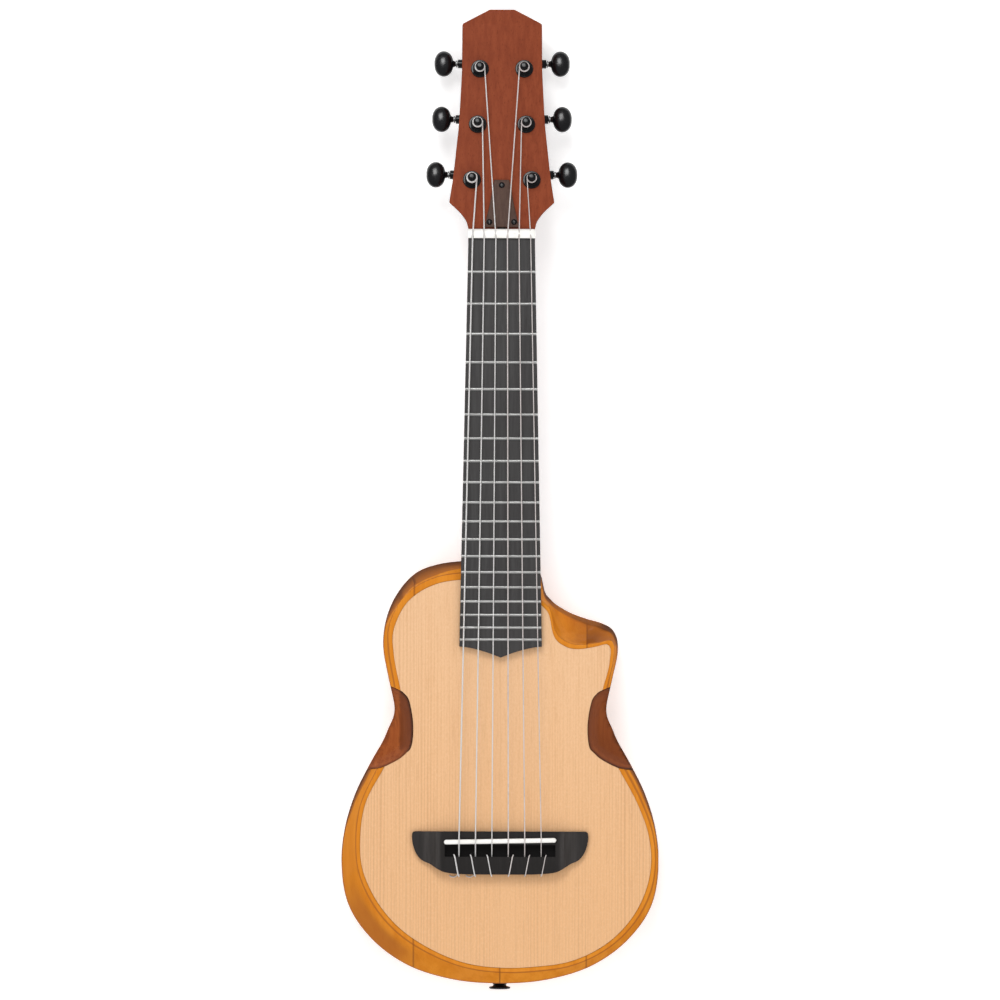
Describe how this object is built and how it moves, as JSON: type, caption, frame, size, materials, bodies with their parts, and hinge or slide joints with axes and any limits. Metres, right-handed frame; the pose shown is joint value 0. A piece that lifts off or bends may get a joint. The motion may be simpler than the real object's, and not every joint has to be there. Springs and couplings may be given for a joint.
{
  "type": "guitalele",
  "caption": "Short-scale six-string guitalele with a scooped cutaway body, solid soundboard without a sound hole, tie bridge, tilted headstock and working tuning machines.",
  "frame": {"origin": "middle of the instrument's plan, on the surface its flat back lies on", "axes": "+Y along the strings toward the headstock, +Z out of the soundboard, +X toward the cutaway side"},
  "size_m": [0.2263, 0.7002, 0.0724],
  "materials": {
    "body_wood": "gloss",
    "spruce": "satin",
    "inlay_wood": "gloss",
    "neck_wood": "satin",
    "ebony": "satin",
    "bone": "satin",
    "cover_wood": "satin",
    "brace_wood": "matte",
    "nylon": "gloss",
    "black_metal": "gloss",
    "steel": "satin",
    "black_plastic": "gloss"
  },
  "bodies": {
    "root": {"body_board_bass_inner": "body_wood", "body_board_bass_outer": "body_wood", "body_board_treble_inner": "body_wood", "body_board_treble_outer": "body_wood", "brace_lower": "brace_wood", "brace_upper": "brace_wood", "bridge": "ebony", "bridge_plate": "brace_wood", "cover_screw_bass": "black_metal", "cover_screw_top": "black_metal", "cover_screw_treble": "black_metal", "end_pin": "black_metal", "end_pin_screw": "black_metal", "fretboard": "ebony", "neck": "neck_wood", "nut": "bone", "saddle": "bone", "soundboard": "spruce", "string_1": "nylon", "string_2": "nylon", "string_3": "nylon", "string_4": "nylon", "string_5": "nylon", "string_6": "nylon", "truss_rod": "steel", "truss_rod_cover": "cover_wood", "tuner_bushing_1": "black_metal", "tuner_bushing_2": "black_metal", "tuner_bushing_3": "black_metal", "tuner_bushing_4": "black_metal", "tuner_bushing_5": "black_metal", "tuner_bushing_6": "black_metal", "tuner_housing_1": "black_metal", "tuner_housing_2": "black_metal", "tuner_housing_3": "black_metal", "tuner_housing_4": "black_metal", "tuner_housing_5": "black_metal", "tuner_housing_6": "black_metal", "waist_inlay_bass": "inlay_wood", "waist_inlay_treble": "inlay_wood"},
    "button_6": {"tuner_button_6": "black_plastic"},
    "post_6": {"tuner_post_6": "black_metal", "winding_6": "nylon"},
    "button_5": {"tuner_button_5": "black_plastic"},
    "post_5": {"tuner_post_5": "black_metal", "winding_5": "nylon"},
    "button_4": {"tuner_button_4": "black_plastic"},
    "post_4": {"tuner_post_4": "black_metal", "winding_4": "nylon"},
    "button_3": {"tuner_button_3": "black_plastic"},
    "post_3": {"tuner_post_3": "black_metal", "winding_3": "nylon"},
    "button_2": {"tuner_button_2": "black_plastic"},
    "post_2": {"tuner_post_2": "black_metal", "winding_2": "nylon"},
    "button_1": {"tuner_button_1": "black_plastic"},
    "post_1": {"tuner_post_1": "black_metal", "winding_1": "nylon"},
    "rod_nut": {"truss_rod_nut": "steel"}
  },
  "joints": [
    {"name": "button_6_turn", "type": "hinge", "parent": "root", "child": "button_6", "pos_m": [-0.0213, 0.23186, 0.03218], "axis": [-1, 0, 0], "continuous": true},
    {"name": "post_6_turn", "type": "hinge", "parent": "root", "child": "post_6", "pos_m": [-0.0213, 0.22803, 0.05262], "axis": [0, 0.2079, 0.9781], "continuous": true},
    {"name": "button_5_turn", "type": "hinge", "parent": "root", "child": "button_5", "pos_m": [-0.0173, 0.27162, 0.02372], "axis": [-1, 0, 0], "continuous": true},
    {"name": "post_5_turn", "type": "hinge", "parent": "root", "child": "post_5", "pos_m": [-0.0173, 0.26779, 0.04417], "axis": [0, 0.2079, 0.9781], "continuous": true},
    {"name": "button_4_turn", "type": "hinge", "parent": "root", "child": "button_4", "pos_m": [-0.0158, 0.31138, 0.01527], "axis": [-1, 0, 0], "continuous": true},
    {"name": "post_4_turn", "type": "hinge", "parent": "root", "child": "post_4", "pos_m": [-0.0158, 0.30755, 0.03572], "axis": [0, 0.2079, 0.9781], "continuous": true},
    {"name": "button_3_turn", "type": "hinge", "parent": "root", "child": "button_3", "pos_m": [0.0158, 0.31138, 0.01527], "axis": [1, 0, 0], "continuous": true},
    {"name": "post_3_turn", "type": "hinge", "parent": "root", "child": "post_3", "pos_m": [0.0158, 0.30755, 0.03572], "axis": [0, 0.2079, 0.9781], "continuous": true},
    {"name": "button_2_turn", "type": "hinge", "parent": "root", "child": "button_2", "pos_m": [0.0173, 0.27162, 0.02372], "axis": [1, 0, 0], "continuous": true},
    {"name": "post_2_turn", "type": "hinge", "parent": "root", "child": "post_2", "pos_m": [0.0173, 0.26779, 0.04417], "axis": [0, 0.2079, 0.9781], "continuous": true},
    {"name": "button_1_turn", "type": "hinge", "parent": "root", "child": "button_1", "pos_m": [0.0213, 0.23186, 0.03218], "axis": [1, 0, 0], "continuous": true},
    {"name": "post_1_turn", "type": "hinge", "parent": "root", "child": "post_1", "pos_m": [0.0213, 0.22803, 0.05262], "axis": [0, 0.2079, 0.9781], "continuous": true},
    {"name": "rod_nut_turn", "type": "hinge", "parent": "root", "child": "rod_nut", "pos_m": [0, 0.1936, 0.054], "axis": [0, 1, 0], "range_deg": [-270, 270]}
  ],
  "couplings": [
    {"joint": "post_6_turn", "follows": "button_6_turn", "ratio": 0.071429},
    {"joint": "post_5_turn", "follows": "button_5_turn", "ratio": 0.071429},
    {"joint": "post_4_turn", "follows": "button_4_turn", "ratio": 0.071429},
    {"joint": "post_3_turn", "follows": "button_3_turn", "ratio": 0.071429},
    {"joint": "post_2_turn", "follows": "button_2_turn", "ratio": 0.071429},
    {"joint": "post_1_turn", "follows": "button_1_turn", "ratio": 0.071429}
  ]
}
